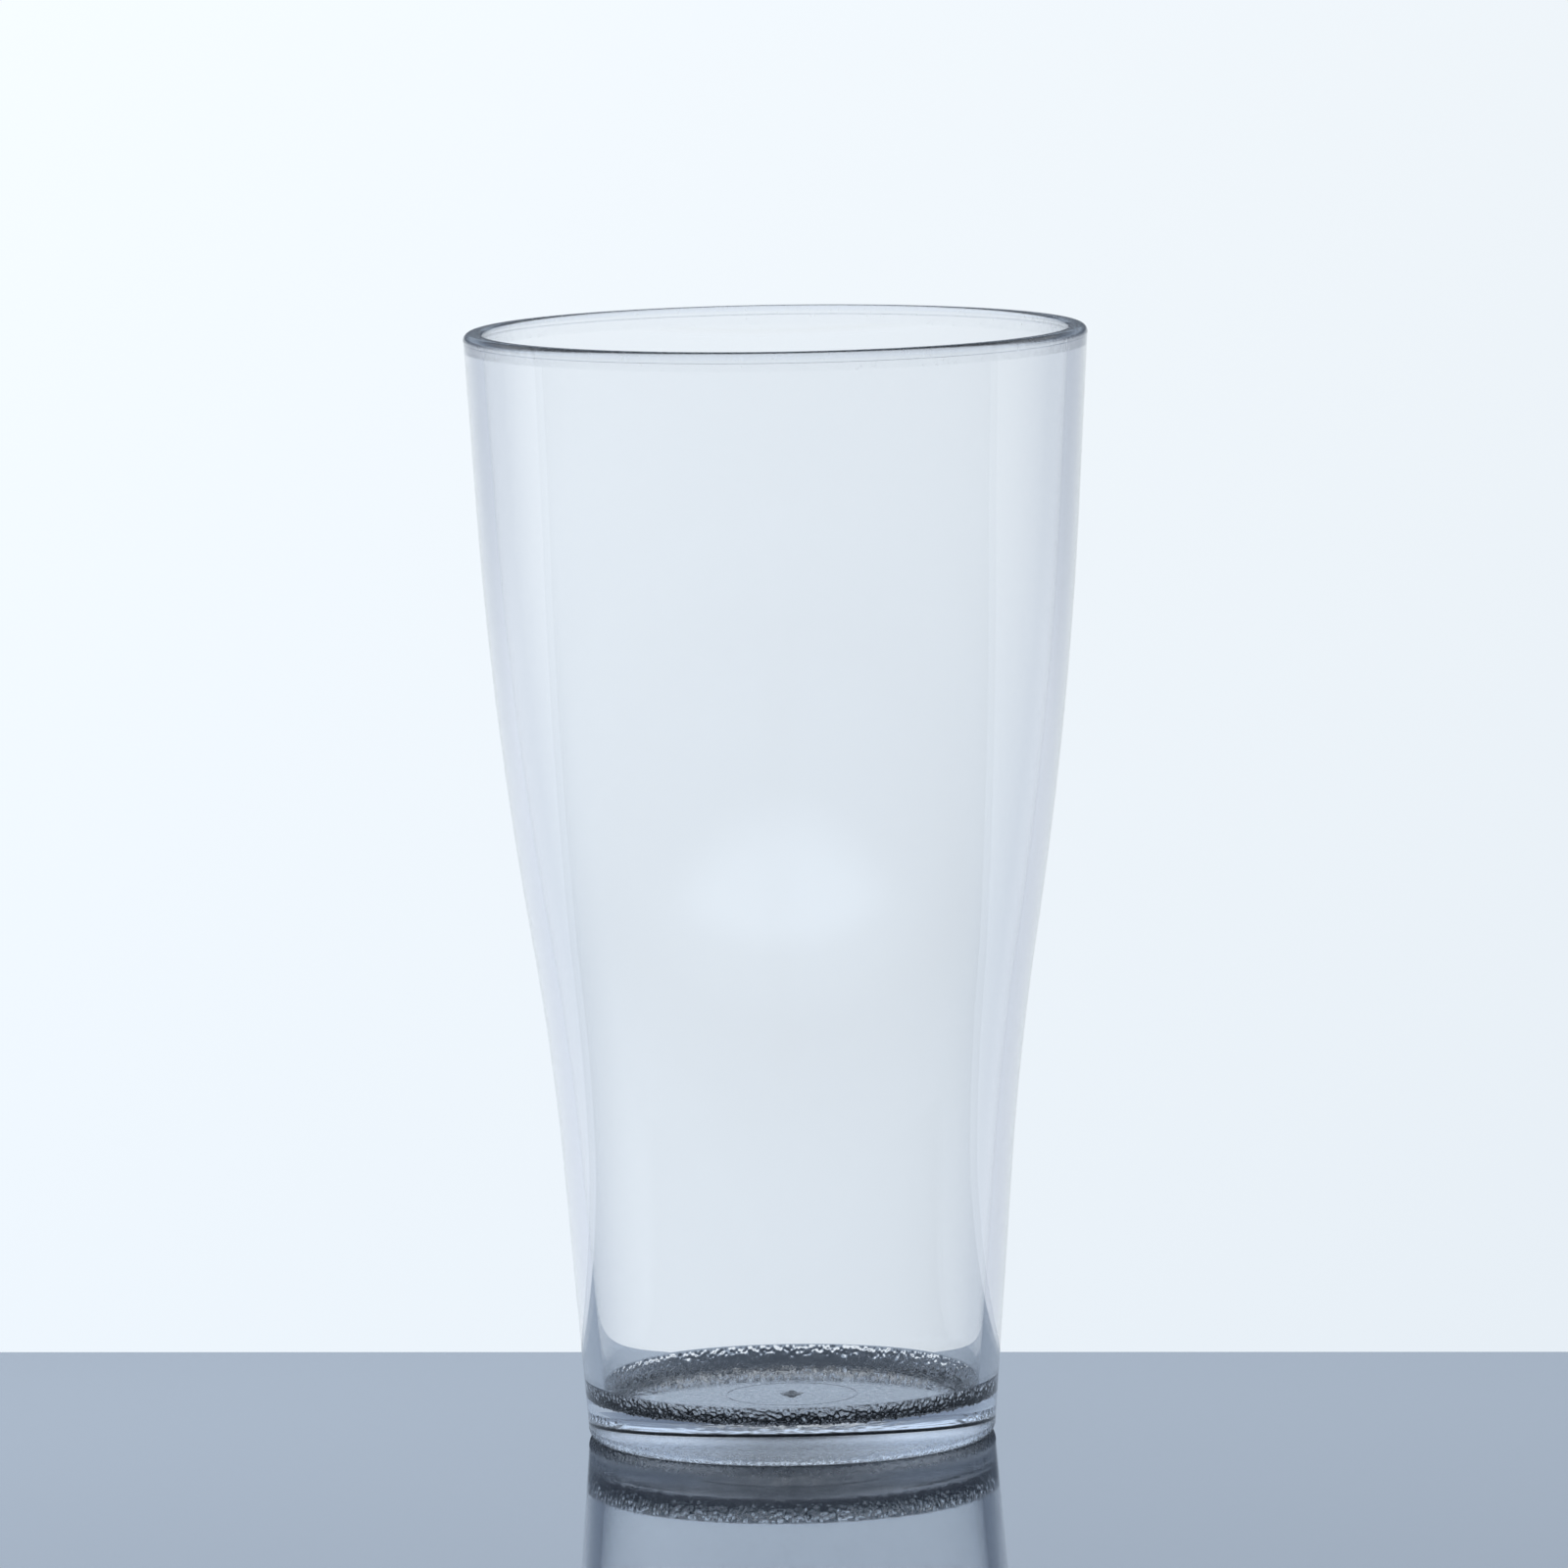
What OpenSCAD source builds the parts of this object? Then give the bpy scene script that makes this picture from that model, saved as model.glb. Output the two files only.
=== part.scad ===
// Tulip-shaped pint tumbler, moulded in one piece from clear plastic.
// Millimetres, +Z up, origin at the centre of the foot on the table.

/* [Body] */
// Overall height, from the table to the crest of the lip
height = 157.4; // [150:0.2:170]
// Diameter that the lower cone would have at table level
foot_d = 57.7; // [54:0.1:62]
// Thickness of the side wall, measured square to the surface
wall = 2.65; // [2:0.05:3.2]
// Lean of the straight lower wall, in degrees
lower_lean = 4.45; // [3:0.05:6]
// Lean where the side is steepest, in degrees
middle_lean = 9.2; // [7:0.05:11]
// Lean of the straight upper wall, in degrees
upper_lean = 3.36; // [2:0.02:5]
// Height where the lower cone starts to flare
flare_z = 38.2; // [30:0.1:46]
// Height where the side leans most
steep_z = 71.4; // [64:0.1:80]
// Height where the side is straight again
shoulder_z = 132.5; // [120:0.5:138]

/* [Lip] */
// Radius of the lip's outer rounding
lip_out = 1; // [0.5:0.05:1.25]
// Radius of the lip's inner rounding
lip_in = 0.6; // [0.3:0.05:1]
// Depth below the crest of the line where the two halves of the mould meet
parting_drop = 1.4; // [1.4:0.05:3]
// How far that line stands proud, and half of its width
parting_line = 0.03; // [0.03:0.01:0.1]

/* [Base] */
// Height of the drinking floor above the table
floor_z = 5.6; // [4.5:0.1:7]
// Radius of the hollow corner between the floor and the wall
floor_r = 2.75; // [2:0.05:5]
// Radius of the rounding at the foot
heel_r = 2.8; // [2.2:0.1:4]
// Height where that rounding starts
heel_h = 1.5; // [1:0.1:2]
// Inner diameter of the ring that stands on the table
ring_d = 48; // [40:0.5:52]
// Depth of the shallow dish inside that ring, at the middle
dish = 0.5; // [0.35:0.05:0.8]

/* [Gate] */
// Diameter of the gate stub, and of the top of the bump over it
gate_d = 1.6; // [1.2:0.1:3]
// Height of the gate stub
gate_h = 0.3; // [0.2:0.05:0.35]
// Height of the bump that the gate leaves on the floor
bump_h = 0.55; // [0.2:0.05:0.8]
// Diameter of the line that the core's air valve leaves on the floor
valve_d = 18.6; // [12:0.2:24]
// Depth and half width of that line
valve_line = 0.06; // [0.04:0.01:0.1]

/* [Hidden] */

// Facets around the axis, and steps along each kind of curve
$fn = 192;
lip_steps = 8;
corner_steps = 12;
heel_steps = 6;
side_steps = 32;

// The slope of each stretch, as gain in radius per gain in height
lower_slope = tan(lower_lean);
middle_slope = tan(middle_lean);
upper_slope = tan(upper_lean);

// Slope of the outside at height z
function slope(z) =
    let (flare = (z - flare_z) / (steep_z - flare_z))
    let (settle = (z - steep_z) / (shoulder_z - steep_z))
    z < flare_z ? lower_slope
    : z < steep_z ? lower_slope + (middle_slope - lower_slope) * flare
    : z < shoulder_z ? middle_slope + (upper_slope - middle_slope) * settle
    : upper_slope;

// Radius gained by height z when a slope turns evenly into another between two heights
function gained(z, start, end, before, after) =
    let (turned = max(0, min(z, end) - start))
    (after - before) * (turned * turned / 2 / (end - start) + max(0, z - end));

// Radius of the outside at height z
function outer_r(z) =
    foot_d / 2 + lower_slope * z
    + gained(z, flare_z, steep_z, lower_slope, middle_slope)
    + gained(z, steep_z, shoulder_z, middle_slope, upper_slope);

// The point at a depth below the outside at height z, square to the wall
function side(z, depth) =
    let (lean = atan(slope(z)))
    [outer_r(z) - depth * cos(lean), z + depth * sin(lean)];

// Height of one of the steps between the two straight stretches
function step_z(i) = flare_z + (shoulder_z - flare_z) * i / side_steps;

// Points on an arc about a centre
function arc(centre, r, start, end, steps) =
    [for (i = [0 : steps]) let (a = start + (end - start) * i / steps) centre + r * [cos(a), sin(a)]];

// Centre of a circle that rests on height z and touches the lower wall at a depth from inside
function corner(z, r, depth) =
    let (on_wall = side(0, depth))
    [on_wall[0] + (z + r - on_wall[1]) * lower_slope - r / cos(lower_lean), z + r];

// Centre of a circle that touches the crest's height, at a depth below the outside
function under_crest(r, depth) = side(height - r - depth * sin(upper_lean), depth);

// The parting line, from below it to above it
parting = [
    side(height - parting_drop - parting_line, 0),
    side(height - parting_drop, -parting_line),
    side(height - parting_drop + parting_line, 0)
];

// Centre of the rounding at the foot
heel = side(heel_h, heel_r);

// Underside from the axis out: gate stub, shallow dish and the ring that stands on the table
underside = [
    [0, dish - gate_h],
    [gate_d / 2, dish - gate_h],
    [gate_d / 2, dish * (1 - gate_d / ring_d)],
    [ring_d / 2, 0]
];

// Drinking floor from its corner in to the axis: the valve's line, and the low bump over the gate
middle = [
    [valve_d / 2 + valve_line, floor_z],
    [valve_d / 2, floor_z - valve_line],
    [valve_d / 2 - valve_line, floor_z],
    [gate_d, floor_z],
    [gate_d / 2, floor_z + bump_h],
    [0, floor_z + bump_h]
];

// Half of the section, anticlockwise from the axis under the base
module section() {
    polygon(concat(
        underside,
        arc(heel, heel_r, -asin(heel[1] / heel_r), -lower_lean, heel_steps),
        [for (i = [0 : side_steps]) side(step_z(i), 0)],
        parting,
        arc(under_crest(lip_out, lip_out), lip_out, -upper_lean, 90, lip_steps),
        arc(under_crest(lip_in, wall - lip_in), lip_in, 90, 180 - upper_lean, lip_steps),
        [for (i = [side_steps : -1 : 0]) side(step_z(i), wall)],
        arc(corner(floor_z, floor_r, wall), floor_r, -lower_lean, -90, corner_steps),
        middle
    ));
}

// The whole tumbler: foot ring, thick base, flared side and rounded lip in one moulding
module tumbler() {
    color([0.86, 0.91, 0.96, 0.45])
        rotate_extrude() section();
}

tumbler();
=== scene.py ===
"""The looks of a clear, tulip-shaped pint tumbler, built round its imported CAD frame.

The tumbler is one moulding, so it is one closed mesh: a lathe of its whole section. The body is
polished, the corner of the drinking floor is pebbled, the floor is satin, the foot and underside
are matt, and the lip is a little worn. Lengths are in millimetres until a point is handed to
Blender.
"""

import math
from collections import namedtuple

import bpy
import numpy as np
from mathutils import Matrix, Vector, noise

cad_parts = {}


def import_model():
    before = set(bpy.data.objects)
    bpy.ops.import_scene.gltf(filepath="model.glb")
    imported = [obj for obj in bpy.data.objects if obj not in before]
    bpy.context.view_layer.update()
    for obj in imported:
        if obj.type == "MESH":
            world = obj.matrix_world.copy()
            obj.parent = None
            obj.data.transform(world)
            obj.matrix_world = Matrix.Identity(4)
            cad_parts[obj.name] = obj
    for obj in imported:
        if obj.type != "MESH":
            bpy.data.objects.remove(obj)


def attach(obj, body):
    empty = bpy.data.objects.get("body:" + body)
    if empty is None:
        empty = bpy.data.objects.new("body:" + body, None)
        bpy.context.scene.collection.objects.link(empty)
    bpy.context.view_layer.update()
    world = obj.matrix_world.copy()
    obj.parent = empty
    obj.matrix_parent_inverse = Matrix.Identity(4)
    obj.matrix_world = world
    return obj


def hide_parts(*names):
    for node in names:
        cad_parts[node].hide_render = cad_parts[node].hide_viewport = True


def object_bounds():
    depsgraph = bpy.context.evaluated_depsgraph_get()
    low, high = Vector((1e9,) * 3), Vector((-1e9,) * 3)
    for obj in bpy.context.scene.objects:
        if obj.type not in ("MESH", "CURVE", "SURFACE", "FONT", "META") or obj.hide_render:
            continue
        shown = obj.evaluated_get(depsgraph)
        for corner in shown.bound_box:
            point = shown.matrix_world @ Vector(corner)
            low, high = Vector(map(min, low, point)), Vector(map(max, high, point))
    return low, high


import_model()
cad_low, cad_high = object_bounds()

MM = 0.001

# The tumbler's section. Its height comes from the frame, and the rest repeats the design.
HEIGHT = cad_high.z / MM
FOOT_RADIUS = 28.85
WALL = 2.65
LOWER_LEAN, MIDDLE_LEAN, UPPER_LEAN = (math.radians(a) for a in (4.45, 9.2, 3.36))
FLARE_Z, STEEP_Z, SHOULDER_Z = 38.2, 71.4, 132.5
LIP_OUT, LIP_IN = 1.0, 0.6
PARTING_DROP, PARTING_LINE = 1.4, 0.03
FLOOR_Z, FLOOR_RADIUS = 5.6, 2.75
HEEL_RADIUS, HEEL_Z = 2.8, 1.5
RING_RADIUS, DISH = 24.0, 0.5
VALVE_RADIUS, VALVE_LINE = 9.3, 0.06
GATE_RADIUS, BUMP_RADIUS, BUMP_HEIGHT = 0.8, 1.6, 0.55

# Rings of the mesh: heights on the wall under the flare and over the shoulder, rings from one to
# the other, heights over the pebbled corner, the height over which the inside has the wall's
# rings, and steps along the roundings, in number or in length
FOOT_RINGS = (2.0, 3.0, 4.5, 6.5, 9.0, 12.0, 16.0, 22.0, 30.0)
TOP_RINGS = (138.0, 144.0, 150.0, 153.0, 154.6)
FLARE_RINGS = 36
OVER_CORNER = (1.2, 0.6, 0.3, 0.12)
INSIDE_FROM = 10.0
HEEL_STEPS, LIP_OUT_STEPS, LIP_IN_STEPS, BUMP_STEPS = 8, 10, 8, 4
CORNER_STEP, FLOOR_STEP, UNDER_STEP = 0.17, 0.26, 2.0

# Vertices round the body and round the pebbled corner, the fewest in a ring, and the least
# distance between two of them
BODY_SEGMENTS, PEBBLE_SEGMENTS, FEWEST = 256, 1024, 16
CLOSEST = 0.12

# The pebbles: their size, their depth in the corner and at the floor's edge, the radii between
# which they rise on the floor, the level that leaves the surface where it is, and the ledge
# where they start
PEBBLE_SIZE = 0.5
CORNER_DEPTH, FLOOR_DEPTH = 0.53, 0.34
RISE_FROM, RISE_TO = 19.5, 23.0
PEBBLE_LEVEL = 0.3
LEDGE_WIDTH, LEDGE_DROP = 0.05, 0.1

# The kinds of surface, in the order of the mesh's materials
POLISHED, MATT, PEBBLED, SATIN, WORN = range(5)

# Clear polycarbonate's tint and refractive index, and the middle of a noise's range
PLASTIC_TINT, PLASTIC_IOR = (0.992, 0.996, 1.0, 1), 1.585
NOISE_LOW, NOISE_HIGH = 0.3, 0.7

# The table top's two shades, its refractive index, and the cells of its speckle per metre
TABLE_DARK, TABLE_LIGHT = (0.05, 0.062, 0.078, 1), (0.10, 0.112, 0.13, 1)
TABLE_IOR, TABLE_SPECKLE = 1.5, 900

# The table top's slab, from its front to its far edge behind the tumbler, and its turn
TABLE_HALF_WIDTH, TABLE_FRONT, TABLE_EDGE, TABLE_THICK = 3000.0, -2900.0, 67.3, 30.0
TABLE_YAW = math.radians(-5.3)

# The camera's place, its angle below the horizon, its roll, and its focal length and sensor
CAMERA_PLACE = (0.25, -1611.7, 283.2)
CAMERA_DOWN, CAMERA_ROLL = math.radians(6.739), math.radians(-0.899)
FOCAL_LENGTH, SENSOR = 263.5, 36.0
CAMERA_NEAR, CAMERA_FAR = 0.05, 20.0

# Light by elevation in degrees: straight behind the tumbler, and at the sides and in front.
# The pale backdrop ends just over the horizon. Over it are a dim gap, a low window and a dark
# ceiling. The low window and a second, higher one go all round the room.
BEHIND = (
    (-90, 0.80, 0.87, 0.96),
    (-20, 0.79, 0.86, 0.95),
    (-12, 0.81, 0.88, 0.95),
    (-3, 0.90, 0.955, 1.0),
    (0.9, 0.95, 1.03, 1.12),
    (1.4, 0.07, 0.085, 0.11),
    (8.3, 0.07, 0.085, 0.11),
    (9.5, 0.99, 1.17, 1.41),
    (13.5, 0.88, 1.05, 1.28),
    (18, 0.02, 0.025, 0.035),
    (38, 0.02, 0.025, 0.035),
    (43, 0.50, 0.57, 0.66),
    (58, 0.50, 0.57, 0.66),
    (64, 0.05, 0.06, 0.08),
)
AROUND = (
    (-90, 0.72, 0.78, 0.86),
    (-20, 0.60, 0.67, 0.78),
    (-10, 0.70, 0.76, 0.85),
    (-4, 0.46, 0.52, 0.61),
    (0, 0.28, 0.35, 0.46),
    (5, 0.16, 0.21, 0.32),
    (8.5, 0.36, 0.46, 0.62),
    (10, 0.85, 1.02, 1.25),
    (17, 0.80, 1.00, 1.30),
    (21, 0.20, 0.30, 0.50),
    (26, 0.85, 0.95, 1.08),
    (36, 0.85, 0.95, 1.08),
    (44, 0.22, 0.25, 0.30),
    (90, 0.18, 0.21, 0.26),
)
# Degrees from straight behind between which one turns into the other
BEHIND_TO, AROUND_FROM = 6, 28
# The light falls from left to right: its strength at two places across the backdrop
FALL_FROM, FALL_TO = (-0.1, 1.05), (0.1, 0.94)

Ring = namedtuple("Ring", "r z surface depth segments")


def slope(z):
    """Gain in radius per gain in height of the outside at height z."""
    lower, middle, upper = math.tan(LOWER_LEAN), math.tan(MIDDLE_LEAN), math.tan(UPPER_LEAN)
    return float(np.interp(z, (FLARE_Z, STEEP_Z, SHOULDER_Z), (lower, middle, upper)))


def outer_radius(z):
    """Radius of the outside at height z: the slope added up from the foot."""

    def gained(start, end, before, after):
        turned = max(0.0, min(z, end) - start)
        return (after - before) * (turned * turned / 2 / (end - start) + max(0.0, z - end))

    lower, middle, upper = math.tan(LOWER_LEAN), math.tan(MIDDLE_LEAN), math.tan(UPPER_LEAN)
    rise = gained(FLARE_Z, STEEP_Z, lower, middle) + gained(STEEP_Z, SHOULDER_Z, middle, upper)
    return FOOT_RADIUS + lower * z + rise


def side(z, depth):
    """The point at a depth below the outside at height z, square to the wall."""
    lean = math.atan(slope(z))
    return outer_radius(z) - depth * math.cos(lean), z + depth * math.sin(lean)


def arc(centre, radius, start, end, steps):
    """Points on an arc about a centre, from one angle to another."""
    angles = np.linspace(start, end, steps + 1)
    return [(centre[0] + radius * math.cos(a), centre[1] + radius * math.sin(a)) for a in angles]


def line(start, end, step):
    """Points from start up to, and without, end."""
    count = max(1, math.ceil(math.dist(start, end) / step))
    return [tuple(np.array(start) + (np.array(end) - start) * i / count) for i in range(count)]


def under_crest(radius, depth):
    """Centre of a circle that touches the crest's height, at a depth below the outside."""
    return side(HEIGHT - radius - depth * math.sin(UPPER_LEAN), depth)


def floor_corner():
    """Centre of the rounding between the drinking floor and the wall."""
    r, z = side(0, WALL)
    up = FLOOR_Z + FLOOR_RADIUS
    return r + (up - z) * math.tan(LOWER_LEAN) - FLOOR_RADIUS / math.cos(LOWER_LEAN), up


def underside():
    """Shallow dish, ring that stands on the table and rounding of the foot, and its last point."""
    heel = side(HEEL_Z, HEEL_RADIUS)
    start = -math.asin(heel[1] / HEEL_RADIUS)
    rounding = arc(heel, HEEL_RADIUS, start, -LOWER_LEAN, HEEL_STEPS)
    dish = line((GATE_RADIUS / 2, DISH), (RING_RADIUS, 0.0), UNDER_STEP)
    ring = line((RING_RADIUS, 0.0), rounding[0], UNDER_STEP)
    return dish + ring + rounding[:-1], rounding[-1]


def wall_heights():
    """Heights of the rings on the wall: close together near the foot, the flare and the lip."""
    return [*FOOT_RINGS, *np.linspace(FLARE_Z, SHOULDER_Z, FLARE_RINGS), *TOP_RINGS]


def parting():
    """The fine line that the mould's two halves leave below the lip, with a ring on either side."""
    z, half = HEIGHT - PARTING_DROP, PARTING_LINE
    steps = ((-3, 0), (-1, 0), (0, -half), (1, 0), (3, 0))
    return [side(z + step * half, depth) for step, depth in steps]


def lip():
    """Outer rounding, narrow land and inner rounding of the lip."""
    top = math.pi / 2
    outer = arc(under_crest(LIP_OUT, LIP_OUT), LIP_OUT, -UPPER_LEAN, top, LIP_OUT_STEPS)
    inner_end = math.pi - UPPER_LEAN
    inner = arc(under_crest(LIP_IN, WALL - LIP_IN), LIP_IN, top, inner_end, LIP_IN_STEPS)
    return outer + inner


def valve():
    """The fine groove that the core's air valve leaves on the floor, with a ring on either side."""
    steps = ((-2, 0), (-1, 0), (0, VALVE_LINE), (1, 0), (2, 0))
    return [(VALVE_RADIUS - step * VALVE_LINE, FLOOR_Z - drop) for step, drop in steps]


def floor_depth(r):
    """Depth of the pebbles on the drinking floor at radius r."""
    risen = min(1.0, max(0.0, (r - RISE_FROM) / (RISE_TO - RISE_FROM)))
    return FLOOR_DEPTH * risen ** 2


def section():
    """Rings of the lathe, from the axis under the base, up the outside, to the axis on the floor."""
    rings = []

    def add(points, surface, segments, depth=0.0):
        rings.extend(Ring(r, z, surface, depth, segments) for r, z in points)

    matt, first_polished = underside()
    heights = wall_heights()
    inside = [side(z, WALL) for z in reversed(heights) if z > INSIDE_FROM]
    add(matt, MATT, BODY_SEGMENTS)
    add([first_polished], POLISHED, BODY_SEGMENTS)
    add([side(z, 0) for z in heights] + parting(), POLISHED, BODY_SEGMENTS)
    add(lip(), WORN, BODY_SEGMENTS)
    add(inside, POLISHED, BODY_SEGMENTS)

    steps = round(FLOOR_RADIUS * (math.pi / 2 - LOWER_LEAN) / CORNER_STEP)
    bend = arc(floor_corner(), FLOOR_RADIUS, -LOWER_LEAN, -math.pi / 2, steps)
    top_r, top_z = bend[0]
    over = [(top_r + math.tan(LOWER_LEAN) * up, top_z + up) for up in OVER_CORNER]
    add(over, POLISHED, BODY_SEGMENTS)
    add([(top_r - LEDGE_WIDTH, top_z - LEDGE_DROP)], POLISHED, PEBBLE_SEGMENTS)
    add(bend[2:-1], PEBBLED, PEBBLE_SEGMENTS, CORNER_DEPTH)

    groove = valve()
    middle = (groove[-1][0] - FLOOR_STEP / 2, FLOOR_Z)
    flat = line(bend[-1], groove[0], FLOOR_STEP) + groove
    flat += line(middle, (BUMP_RADIUS, FLOOR_Z), FLOOR_STEP)
    for r, z in flat:
        depth = floor_depth(r)
        add([(r, z)], PEBBLED if depth else SATIN, PEBBLE_SEGMENTS // 2, depth)
    for i in range(BUMP_STEPS):
        part = 1 - i / BUMP_STEPS
        rise = BUMP_HEIGHT * (0.5 + 0.5 * math.cos(math.pi * part))
        add([(BUMP_RADIUS * part, FLOOR_Z + rise)], PEBBLED, PEBBLE_SEGMENTS)
    return rings


def counts(rings):
    """Vertices in each ring: halved while they crowd, and at least half of each neighbour's."""
    made = []
    for ring in rings:
        number = ring.segments
        while number > FEWEST and math.tau * ring.r / number < CLOSEST:
            number //= 2
        made.append(number)
    for i in range(1, len(made)):
        made[i] = max(made[i], made[i - 1] // 2)
    for i in reversed(range(len(made) - 1)):
        made[i] = max(made[i], made[i + 1] // 2)
    return made


def stitch(lower, upper):
    """Faces between two rings of vertex numbers, where one may have twice as many as the other."""
    faces = []
    n, m = len(lower), len(upper)
    if n == m:
        for i in range(n):
            j = (i + 1) % n
            faces.append((lower[i], lower[j], upper[j], upper[i]))
    elif n == 2 * m:
        for i in range(m):
            j = (i + 1) % m
            a, b, c = lower[2 * i], lower[2 * i + 1], lower[(2 * i + 2) % n]
            faces += [(a, b, upper[i]), (b, upper[j], upper[i]), (b, c, upper[j])]
    else:
        for i in range(n):
            j = (i + 1) % n
            a, b, c = upper[2 * i], upper[2 * i + 1], upper[(2 * i + 2) % m]
            faces += [(lower[i], b, a), (lower[i], lower[j], b), (lower[j], c, b)]
    return faces


def pebble(x, y, z):
    """Height of the pebbled surface, as a part of its depth."""
    cell = Vector((x, y, z)) / PEBBLE_SIZE
    return PEBBLE_LEVEL - noise.voronoi(cell, distance_metric="DISTANCE_SQUARED")[0][0]


def tumbler_mesh():
    """The closed lathe, with each pebbled point moved along the section's normal."""
    rings = section()
    outline = np.array([(ring.r, ring.z) for ring in rings])
    along = np.gradient(outline, axis=0)
    along /= np.linalg.norm(along, axis=1)[:, None]
    vertices, loops = [], []
    for ring, number, (dr, dz) in zip(rings, counts(rings), along):
        loops.append(range(len(vertices), len(vertices) + number))
        for i in range(number):
            c, s = math.cos(math.tau * i / number), math.sin(math.tau * i / number)
            out = 0.0
            if ring.depth:
                out = ring.depth * pebble(ring.r * c, ring.r * s, ring.z)
            r = ring.r + dz * out
            vertices.append((r * c, r * s, ring.z - dr * out))

    faces, surfaces = [], []
    for ring, lower, upper in zip(rings, loops, loops[1:]):
        made = stitch(lower, upper)
        faces += made
        surfaces += [ring.surface] * len(made)
    bump_top = FLOOR_Z + BUMP_HEIGHT
    for loop, z, surface, turn in ((loops[0], DISH, MATT, -1), (loops[-1], bump_top, PEBBLED, 1)):
        vertices.append((0.0, 0.0, z))
        pairs = zip(loop, [*loop[1:], loop[0]])
        faces += [(*pair[::turn], len(vertices) - 1) for pair in pairs]
        surfaces += [surface] * len(loop)

    mesh = bpy.data.meshes.new("tumbler_shell")
    mesh.from_pydata([Vector(v) * MM for v in vertices], [], faces)
    mesh.polygons.foreach_set("material_index", surfaces)
    mesh.polygons.foreach_set("use_smooth", [True] * len(faces))
    mesh.update()
    return mesh


def map_range(tree, value, start, end, low, high):
    """A value spread from one range over another, and held at its ends."""
    node = tree.nodes.new("ShaderNodeMapRange")
    for name, number in (("From Min", start), ("From Max", end), ("To Min", low), ("To Max", high)):
        node.inputs[name].default_value = number
    tree.links.new(value, node.inputs["Value"])
    return node.outputs[0]


def mix_colors(tree, factor):
    """A mix of two colours by a factor: its two colour sockets, and its result."""
    node = tree.nodes.new("ShaderNodeMix")
    node.data_type = "RGBA"
    tree.links.new(factor, node.inputs["Factor"])
    first, second = (socket for socket in node.inputs if socket.enabled and socket.type == "RGBA")
    return first, second, next(socket for socket in node.outputs if socket.type == "RGBA")


def noise_node(tree, scale, detail, stretch=(1, 1, 1)):
    """A noise over the object, in cells per metre."""
    coords = tree.nodes.new("ShaderNodeTexCoord")
    mapping = tree.nodes.new("ShaderNodeMapping")
    mapping.inputs["Scale"].default_value = stretch
    texture = tree.nodes.new("ShaderNodeTexNoise")
    texture.inputs["Scale"].default_value = scale
    texture.inputs["Detail"].default_value = detail
    tree.links.new(coords.outputs["Object"], mapping.inputs["Vector"])
    tree.links.new(mapping.outputs["Vector"], texture.inputs["Vector"])
    return texture.outputs[0]


def add_bump(tree, height, depth):
    """Raise the surface by a height field that is depth millimetres deep."""
    bump = tree.nodes.new("ShaderNodeBump")
    bump.inputs["Distance"].default_value = depth * MM
    tree.links.new(height, bump.inputs["Height"])
    tree.links.new(bump.outputs["Normal"], tree.nodes["Principled BSDF"].inputs["Normal"])


def add_roughness(tree, field, low, high):
    """Let the roughness follow the middle of a noise's range between two values."""
    spread = map_range(tree, field, NOISE_LOW, NOISE_HIGH, low, high)
    tree.links.new(spread, tree.nodes["Principled BSDF"].inputs["Roughness"])


def plastic(name, low, high, grain, depth, detail=1.0, stretch=(1, 1, 1)):
    """Clear polycarbonate: roughness from low to high, and a grain of a scale and a depth."""
    material = bpy.data.materials.new(name)
    material.use_nodes = True
    tree = material.node_tree
    shader = tree.nodes["Principled BSDF"]
    shader.inputs["Base Color"].default_value = PLASTIC_TINT
    shader.inputs["Transmission Weight"].default_value = 1.0
    shader.inputs["IOR"].default_value = PLASTIC_IOR
    field = noise_node(tree, grain, detail, stretch)
    add_roughness(tree, field, low, high)
    add_bump(tree, field, depth)
    return material


def tumbler():
    """The one piece: the moulding, with a finish for each kind of surface."""
    mesh = tumbler_mesh()
    finishes = (
        plastic("polished_plastic", 0.0, 0.02, 150, 0.003, stretch=(1, 1, 0.1)),
        plastic("matt_plastic", 0.22, 0.28, 1700, 0.12),
        plastic("pebbled_plastic", 0.01, 0.03, 4000, 0.002),
        plastic("satin_plastic", 0.04, 0.10, 1500, 0.01, detail=3.0),
        plastic("worn_plastic", 0.15, 0.28, 1500, 0.01, detail=3.0),
    )
    for finish in finishes:
        mesh.materials.append(finish)
    piece = bpy.data.objects.new("tumbler_shell", mesh)
    bpy.context.scene.collection.objects.link(piece)
    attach(piece, "root")
    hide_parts("tumbler")


def table_material():
    """Dark, glossy table top with a fine speckle."""
    material = bpy.data.materials.new("table")
    material.use_nodes = True
    tree = material.node_tree
    shader = tree.nodes["Principled BSDF"]
    shader.inputs["IOR"].default_value = TABLE_IOR
    speckle = noise_node(tree, TABLE_SPECKLE, 2.0)
    dark, light, mixed = mix_colors(tree, speckle)
    dark.default_value = TABLE_DARK
    light.default_value = TABLE_LIGHT
    tree.links.new(mixed, shader.inputs["Base Color"])
    add_roughness(tree, speckle, 0.025, 0.045)
    add_bump(tree, speckle, 0.0006)
    return material


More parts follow.
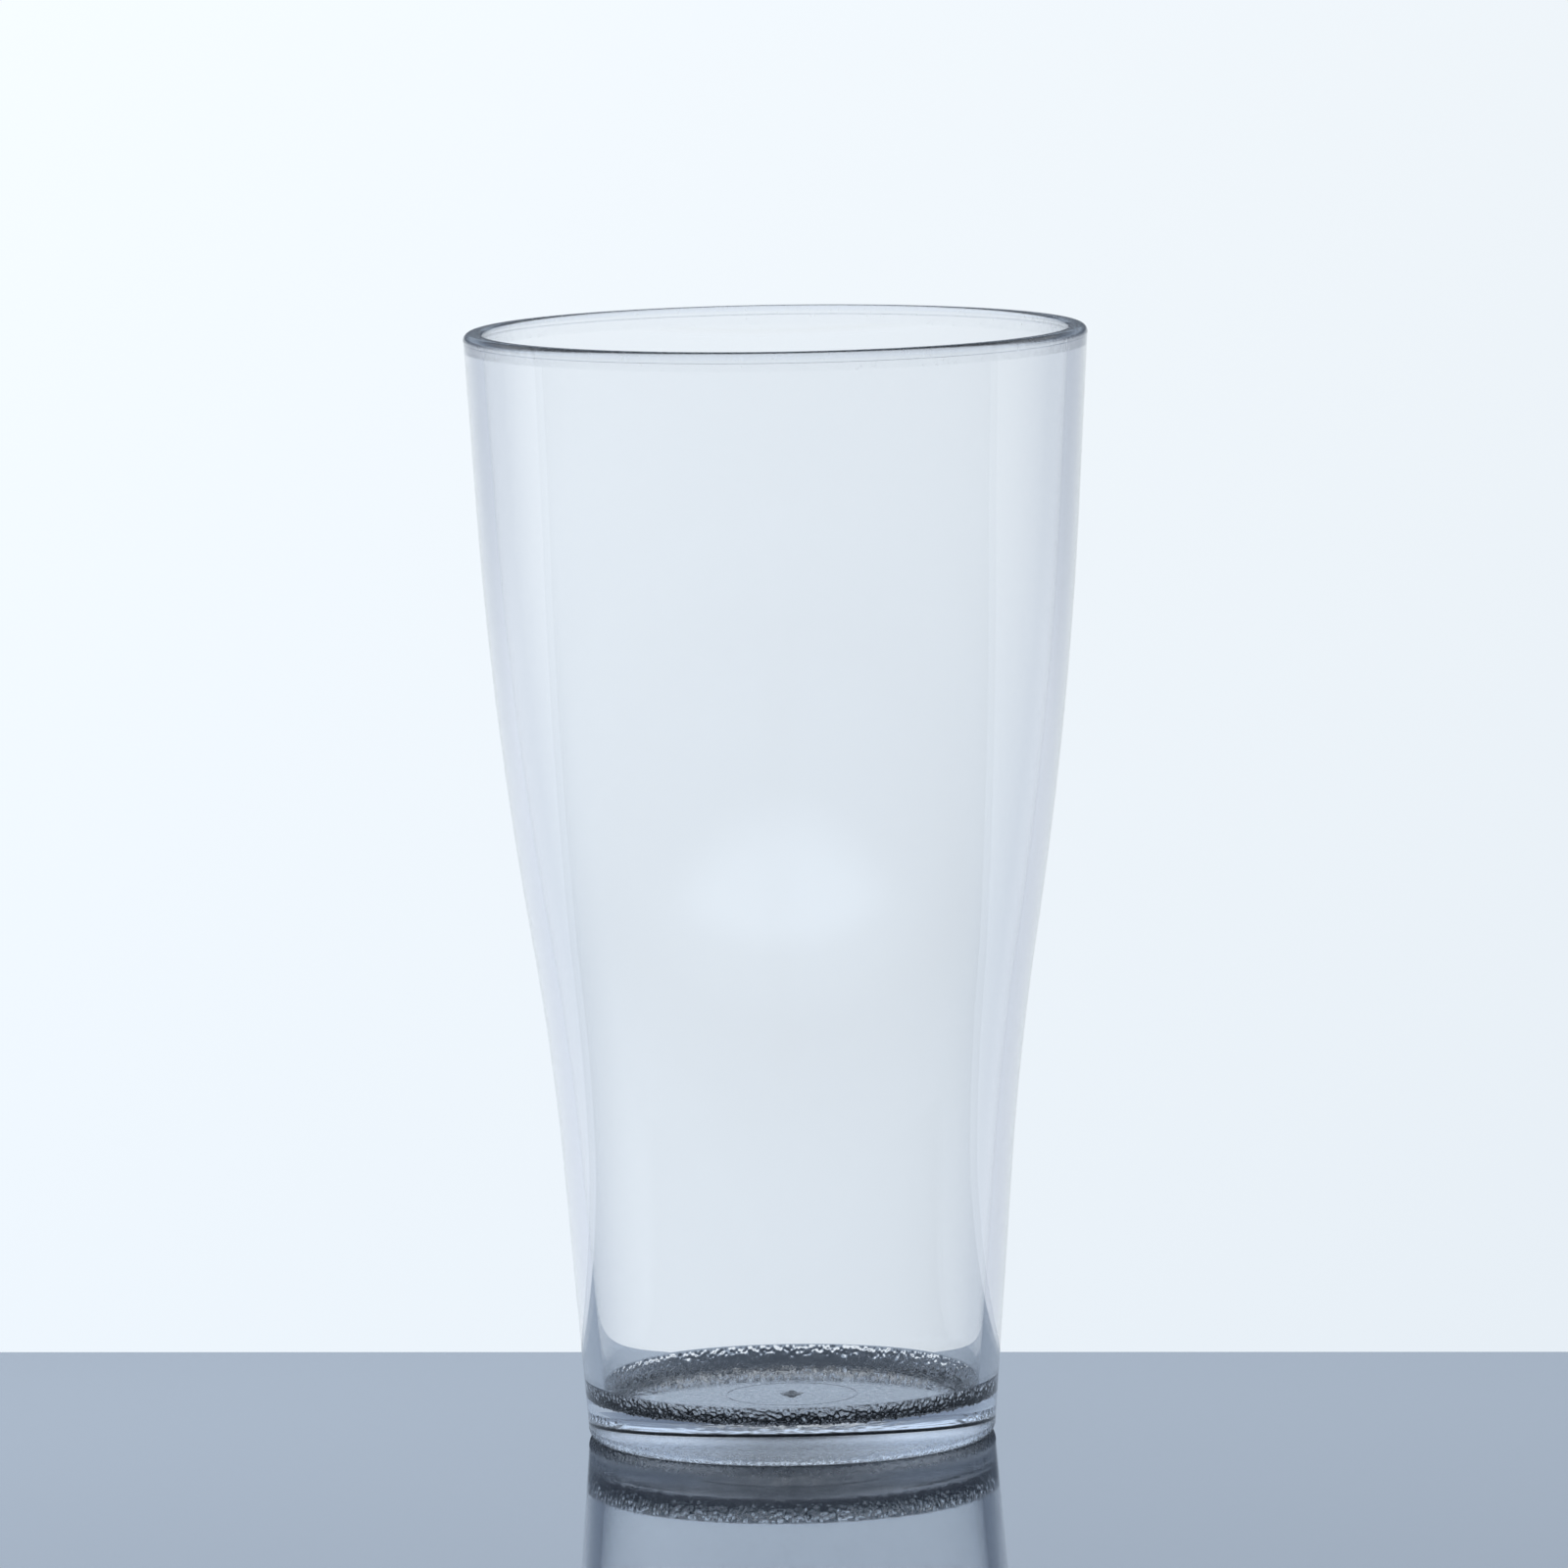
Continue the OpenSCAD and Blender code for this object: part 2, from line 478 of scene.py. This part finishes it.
def table():
    """The table top, a slab whose far edge shows behind the tumbler."""
    turn = Matrix.Rotation(TABLE_YAW, 4, "Z")
    left, right = -TABLE_HALF_WIDTH, TABLE_HALF_WIDTH
    outline = ((left, TABLE_EDGE), (right, TABLE_EDGE), (right, TABLE_FRONT), (left, TABLE_FRONT))
    corners = [turn @ Vector((x, y, z)) * MM for z in (0.0, -TABLE_THICK) for x, y in outline]
    faces = [(0, 3, 2, 1), (4, 5, 6, 7), (0, 1, 5, 4), (1, 2, 6, 5), (2, 3, 7, 6), (3, 0, 4, 7)]
    mesh = bpy.data.meshes.new("table")
    mesh.from_pydata(corners, [], faces)
    mesh.materials.append(table_material())
    slab = bpy.data.objects.new("table", mesh)
    bpy.context.scene.collection.objects.link(slab)


def math_node(tree, operation, first, second=None):
    """A Math node on one or two linked values."""
    node = tree.nodes.new("ShaderNodeMath")
    node.operation = operation
    tree.links.new(first, node.inputs[0])
    if second is not None:
        tree.links.new(second, node.inputs[1])
    return node.outputs[0]


def color_ramp(tree, place, stops):
    """A ramp over elevation, where place is half the direction's height plus a half."""
    ramp = tree.nodes.new("ShaderNodeValToRGB")
    tree.links.new(place, ramp.inputs[0])
    elements = ramp.color_ramp.elements
    elements.remove(elements[1])
    for i, (degrees, *color) in enumerate(stops):
        element = elements[0] if i == 0 else elements.new(1.0)
        element.position = 0.5 + 0.5 * math.sin(math.radians(degrees))
        element.color = (*color, 1)
    return ramp.outputs[0]


def world():
    """Soft studio light: a pale backdrop behind, a dimmer room round it, and low windows."""
    studio = bpy.data.worlds.new("studio")
    bpy.context.scene.world = studio
    studio.use_nodes = True
    tree = studio.node_tree
    coords = tree.nodes.new("ShaderNodeTexCoord")
    split = tree.nodes.new("ShaderNodeSeparateXYZ")
    tree.links.new(coords.outputs["Generated"], split.inputs[0])
    across, away, up = split.outputs
    place = map_range(tree, up, -1, 1, 0, 1)
    turned = math_node(tree, "ABSOLUTE", math_node(tree, "ARCTAN2", across, away))
    around = map_range(tree, turned, math.radians(BEHIND_TO), math.radians(AROUND_FROM), 0, 1)
    first, second, mixed = mix_colors(tree, around)
    tree.links.new(color_ramp(tree, place, BEHIND), first)
    tree.links.new(color_ramp(tree, place, AROUND), second)
    background = tree.nodes["Background"]
    tree.links.new(mixed, background.inputs["Color"])
    (left, left_strength), (right, right_strength) = FALL_FROM, FALL_TO
    falloff = map_range(tree, across, left, right, left_strength, right_strength)
    tree.links.new(falloff, background.inputs["Strength"])


def camera():
    """Long lens, a little above the rim and rolled slightly."""
    data = bpy.data.cameras.new("camera")
    data.sensor_width = SENSOR
    data.lens = FOCAL_LENGTH
    data.clip_start = CAMERA_NEAR
    data.clip_end = CAMERA_FAR
    eye = bpy.data.objects.new("camera", data)
    bpy.context.scene.collection.objects.link(eye)
    place = Matrix.Translation(Vector(CAMERA_PLACE) * MM)
    tilt = Matrix.Rotation(math.pi / 2 - CAMERA_DOWN, 4, "X")
    roll = Matrix.Rotation(CAMERA_ROLL, 4, "Z")
    eye.matrix_world = place @ tilt @ roll
    bpy.context.scene.camera = eye


tumbler()
table()
world()
camera()
bpy.context.scene.view_settings.view_transform = "Standard"
